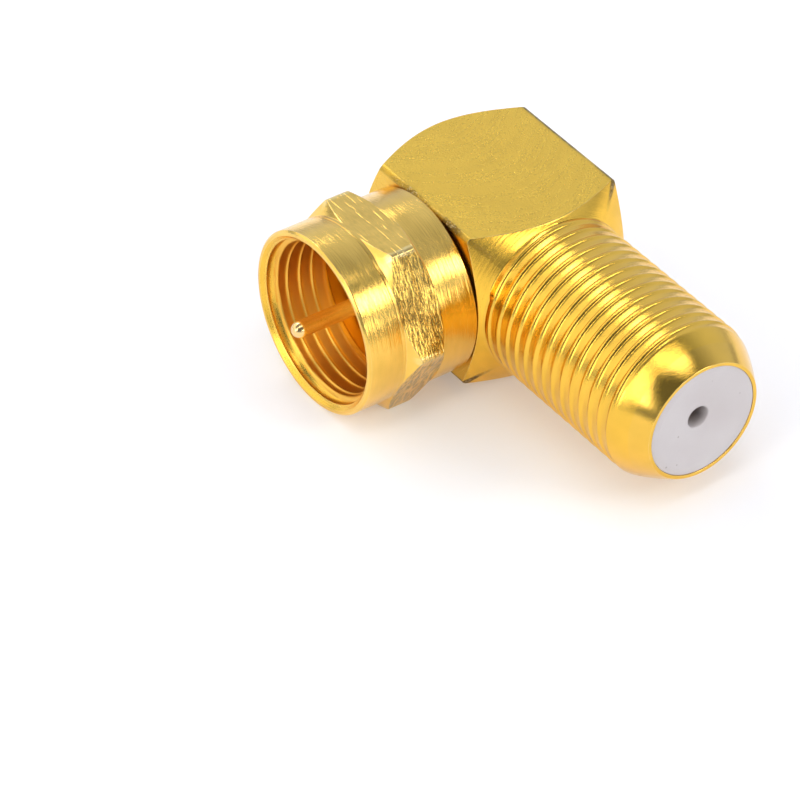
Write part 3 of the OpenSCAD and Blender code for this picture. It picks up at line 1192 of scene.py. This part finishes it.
@dataclass
class Studio:
    """Pale table, soft light and the camera."""

    azimuth: float = 53.451
    elevation: float = 39.095
    roll: float = 1.443
    distance: float = 289.685 * MM
    aim: tuple = (7.191 * MM, 1.316 * MM, -1.671 * MM)
    lens: float = 240.94
    back_wall: float = 0.74
    camera_side: float = 0.14
    dim_elevation: float = 55.0
    dim_range: tuple[float, float] = (0.25, 0.9)
    horizon_range: tuple[float, float] = (0.05, 0.2)
    horizon_share: float = 0.6
    tint_range: tuple[float, float] = (0.75, 1.2)
    fill_azimuth: float = 5.0
    fill_elevation: float = 50.0
    fill_distance: float = 0.9
    fill_size: float = 1.4
    fill_energy: float = 2.5
    table_half: float = 1.5
    table_glow: float = 0.25
    paper: tuple = ((0.76, 0.755, 0.74, 1), (0.745, 0.74, 0.725, 1))
    wall_tint: tuple = (0.94, 1.06, 1.45)
    panels: Sequence[SoftPanel] = field(default_factory=lambda: (
        SoftPanel(-41, 110, 9, 40.5, 1.3, 2.5),
        SoftPanel(-97.5, 27, 43.5, 53, 8.0, 2),
        SoftPanel(-63, 38, 43.5, 53, 1.7, 2),
        SoftPanel(17, 11, 14, 58, 4.5, 4),
        SoftPanel(32, 22, 61, 68, 3.5, 5),
        SoftPanel(-4, 16, 4, 20, 5.0, 4),
        SoftPanel(80, 118, 66, 80, 3.0, 6),
        SoftPanel(123, 28, 29, 46, 7.0, 5),
        SoftPanel(98, 20, 10, 22, 6.0, 5),
    ))

    def build(self, low: Vector, high: Vector) -> None:
        """Builds floor, room, fill light and camera.

        Args:
            low: Lowest corner of the adapter.
            high: Highest corner of the adapter.
        """
        self._floor(low.z)
        self._room()
        self._fill((low + high) / 2)
        self._camera()
        bpy.context.scene.view_settings.view_transform = "Standard"

    @staticmethod
    def _toward(azimuth: float, elevation: float) -> Vector:
        """Returns the unit vector toward a direction given in degrees."""
        az, el = math.radians(azimuth), math.radians(elevation)
        return Vector((math.cos(az) * math.cos(el), math.sin(az) * math.cos(el), math.sin(el)))

    def _floor(self, level: float) -> None:
        """Lays the pale table under the adapter."""
        half = self.table_half
        data = bpy.data.meshes.new("table")
        data.from_pydata([(-half, -half, level), (half, -half, level), (half, half, level),
                          (-half, half, level)], [], [(0, 1, 2, 3)])
        floor = bpy.data.objects.new("table", data)
        bpy.context.scene.collection.objects.link(floor)
        material, g, shader = new_material("white_paper")
        coords = g.add("ShaderNodeTexCoord").outputs["Object"]
        cloud = g.noise(coords, scale=60.0, detail=3.0)
        g.feed(shader["Base Color"], g.blend(cloud, *self.paper))
        shader["Roughness"].default_value = 0.8
        shader["Emission Color"].default_value = (1.0, 0.985, 0.96, 1)
        shader["Emission Strength"].default_value = self.table_glow
        data.materials.append(material)
        floor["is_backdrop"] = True

    def _fill(self, centre: Vector) -> None:
        """Hangs a wide light over the nut's side, to whiten the table without a reflection."""
        data = bpy.data.lights.new("overhead_fill", "AREA")
        data.shape = "DISK"
        data.size = self.fill_size
        data.energy = self.fill_energy
        lamp = bpy.data.objects.new("overhead_fill", data)
        lamp.visible_glossy = False
        out = self._toward(self.fill_azimuth, self.fill_elevation)
        lamp.location = centre + out * self.fill_distance
        lamp.rotation_euler = out.to_track_quat("Z", "Y").to_euler()
        bpy.context.scene.collection.objects.link(lamp)

    @staticmethod
    def _panel_group() -> Tree:
        """Builds the group that gives a panel's brightness toward one direction, in radians."""
        g, given, result = new_group(
            "soft_panel",
            {"Azimuth": 0.0, "Elevation": 0.0, "Middle": 0.0, "Half Width": 0.2, "Low": 0.0,
             "High": 0.2, "Soft": 0.05, "Radiance": 1.0}, ["Light"])
        soft = g.mul(given["Soft"], 0.5)
        turned = g.math("WRAP", g.sub(given["Azimuth"], given["Middle"]), math.pi, -math.pi)
        light = given["Radiance"]
        for inner in (g.sub(given["Half Width"], g.math("ABSOLUTE", turned)),
                      g.sub(given["Elevation"], given["Low"]),
                      g.sub(given["High"], given["Elevation"])):
            light = g.mul(light, g.ramp(inner, g.mul(soft, -1.0), soft))
        g.feed(result["Light"], light)
        return g.tree

    def _room(self) -> None:
        """Soft light of a white room: bright wall behind, dim camera side, and the panels."""
        world = bpy.data.worlds.new("studio_room")
        bpy.context.scene.world = world
        world.use_nodes = True
        g = Graph(world.node_tree)
        shade = world.node_tree.nodes["Background"]
        direction = g.add("ShaderNodeTexCoord").outputs["Generated"]
        front = tuple(self._toward(self.azimuth, self.dim_elevation))
        facing = g.add("ShaderNodeVectorMath", {0: direction, 1: front},
                       operation="DOT_PRODUCT").outputs["Value"]
        light = g.ramp(facing, *self.dim_range, (self.back_wall, self.camera_side), smooth=False)
        parts = g.split(direction)
        light = g.mul(light, g.ramp(parts[2], *self.horizon_range, (self.horizon_share, 1.0)))
        azimuth = g.math("ARCTAN2", parts[1], parts[0])
        elevation = g.math("ARCSINE", parts[2])
        tree = self._panel_group()
        for panel in self.panels:
            places = {"Middle": panel.azimuth, "Half_Width": panel.spread / 2, "Low": panel.low,
                      "High": panel.high, "Soft": panel.soft}
            node = g.group(tree, Azimuth=azimuth, Elevation=elevation, Radiance=panel.radiance,
                           **{name: math.radians(place) for name, place in places.items()})
            light = g.larger(light, node.outputs[0])
        lit = g.ramp(light, *self.tint_range)
        g.feed(shade.inputs["Color"], g.blend(lit, (*self.wall_tint, 1), (1.0, 1.0, 1.0, 1)))
        g.feed(shade.inputs["Strength"], light)

    def _camera(self) -> None:
        """Places the camera at its angle, looking at the aim point."""
        data = bpy.data.cameras.new("camera")
        data.lens, data.sensor_width = self.lens, 36.0
        data.clip_start, data.clip_end = 0.01, 10.0
        camera = bpy.data.objects.new("camera", data)
        bpy.context.scene.collection.objects.link(camera)
        back = self._toward(self.azimuth, self.elevation)
        level = Vector((0, 0, 1)).cross(back).normalized()
        up = back.cross(level)
        roll = math.radians(self.roll)
        right = level * math.cos(roll) + up * math.sin(roll)
        up = back.cross(right)
        turn = Matrix((right, up, back)).transposed().to_4x4()
        camera.matrix_world = Matrix.Translation(Vector(self.aim) + back * self.distance) @ turn
        bpy.context.scene.camera = camera


# ---------------------------------------------------------------- assembly


class Adapter:
    """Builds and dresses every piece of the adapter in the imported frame."""

    def __init__(self, frame: dict) -> None:
        """Reads the axes' height from the frame and builds the shared trees.
        """
        self.frame = frame
        low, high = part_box("elbow_body")
        self.height = (low.z + high.z) / 2
        self.effects = Effects()
        self.threads = ThreadTree()

    def _set(self, axis: Axis, *finishes: Plating) -> list[Material]:
        """Builds several platings about one axis, for a zoned piece in the order of Zone."""
        return [f.build(self.effects, axis, self.height) for f in finishes]

    def _seat(self, piece: Piece, node: str, body: str) -> None:
        """Lets a piece stand for a node and ride on a body."""
        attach(piece, body)
        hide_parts(node)
        LOG.info("%s: %d faces for %s", piece.name, len(piece.data.polygons), node)

    def build_body(self) -> None:
        """Builds the block with its barrel."""
        finishes = self._set(
            Axis.BARREL,
            Plating("satin_gold", gold=(0.9, 0.555, 0.068), rough=(0.24, 0.34), line_depth=0,
                    grain_scale=9000, grain_depth=7e-6, edge=0.5, dull=0.16),
            Plating("turned_gold", rough=(0.12, 0.3), lines=8000, line_depth=5e-6, dull=0.4),
            Plating("thread_gold", gold=(0.95, 0.565, 0.075), rough=(0.08, 0.22), lines=9000,
                    line_depth=1.5e-6, grain_depth=3.2e-6),
            Plating("nose_gold", gold=(0.93, 0.56, 0.09), rough=(0.07, 0.15), lines=9000,
                    line_depth=5e-7, grain_depth=2e-6),
            Plating("milled_gold"),
            Plating("bore_gold", rough=(0.2, 0.4)))
        body = ElbowBody(self.height).build(self.threads, finishes)
        self._seat(body, "elbow_body", "adapter")

    def build_nut(self) -> None:
        """Builds the captive nut."""
        pale = (1.0, 0.63, 0.13)
        finishes = self._set(
            Axis.NUT,
            Plating("nut_lead_gold", gold=(1.0, 0.6, 0.08), rough=(0.22, 0.36), lines=9000),
            Plating("nut_turned_gold", gold=pale, rough=(0.1, 0.28), lines=10000, breaks=3,
                    line_depth=8e-6),
            Plating("nut_thread_gold", gold=(1.0, 0.56, 0.09), rough=(0.32, 0.42), lines=9000,
                    line_depth=5e-7),
            Plating("nut_cone_gold", gold=pale, rough=(0.06, 0.2), lines=9000),
            # Milled flats: painted shade in the line hollows, kept off the flat that faces up, and
            # bright specks of painted glint.
            Plating("nut_milled_gold", gold=pale, deep=(0.22, 0.13, 0.025), rough=(0.1, 0.2),
                    lines=8200, breaks=9, facing=0, line_depth=9e-6, grain_scale=16000,
                    grain_depth=2e-6, specks=0.05, dull=0.2, ridges=2.4e-5, streaks=0.62,
                    rubbed_top=True),
            Plating("nut_recess_gold", gold=(1.0, 0.5, 0.05), rough=(0.28, 0.38), line_depth=5e-7,
                    grain_depth=2e-7, edge=0, dirt=0))
        nut = CouplingNut(self.height).build(self.threads, finishes)
        self._seat(nut, "coupling_nut", "nut")

    def build_contacts(self) -> None:
        """Builds pin, ferrule and sleeve, and plates the hidden socket contact."""
        pin_gold, ferrule_gold = self._set(
            Axis.NUT,
            Plating("pin_gold", gold=(1.0, 0.7, 0.3), rough=(0.12, 0.25), edge=0),
            Plating("ferrule_gold", rough=(0.25, 0.35), line_depth=5e-7, grain_depth=2e-7, dirt=0,
                    edge=0.3))
        contact_gold = Plating("contact_gold", gold=(1.0, 0.62, 0.3), rough=(0.25, 0.35), edge=0)
        self._seat(CentrePin(self.height).build(pin_gold), "centre_pin", "adapter")
        white = Plastic("sleeve_white").build(self.effects)
        ferrule = Ferrule(self.height)
        self._seat(ferrule.build_tube(ferrule_gold), "nut_ferrule", "adapter")
        self._seat(ferrule.build_sleeve(white), "ferrule_insulator", "adapter")
        self._plate("socket_contact", *self._set(Axis.BARREL, contact_gold))
        self._plate("support_insulator", white)

    def _plate(self, node: str, material: Material) -> None:
        """Gives a node of the frame a better material."""
        data = self.frame["nodes"][node].data
        data.materials.clear()
        data.materials.append(material)
        LOG.info("%s: keeps its solid", node)

    def build_face(self) -> None:
        """Builds the white plug in the barrel's end."""
        white = Plastic("face_white", colour=(0.61, 0.56, 0.53), shade=(0.5, 0.43, 0.41),
                        flecks=0.8).build(self.effects)
        plug = FaceInsulator(self.height).build(white)
        self._seat(plug, "face_insulator", "adapter")


def main() -> None:
    """Builds the adapter and the studio."""
    logging.basicConfig(level=logging.INFO, format="%(name)s %(message)s")
    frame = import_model()
    adapter = Adapter(frame)
    adapter.build_body()
    adapter.build_nut()
    adapter.build_contacts()
    adapter.build_face()
    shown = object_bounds()
    Studio().build(*shown)
    LOG.info("studio is set")


if __name__ == "__main__":
    main()
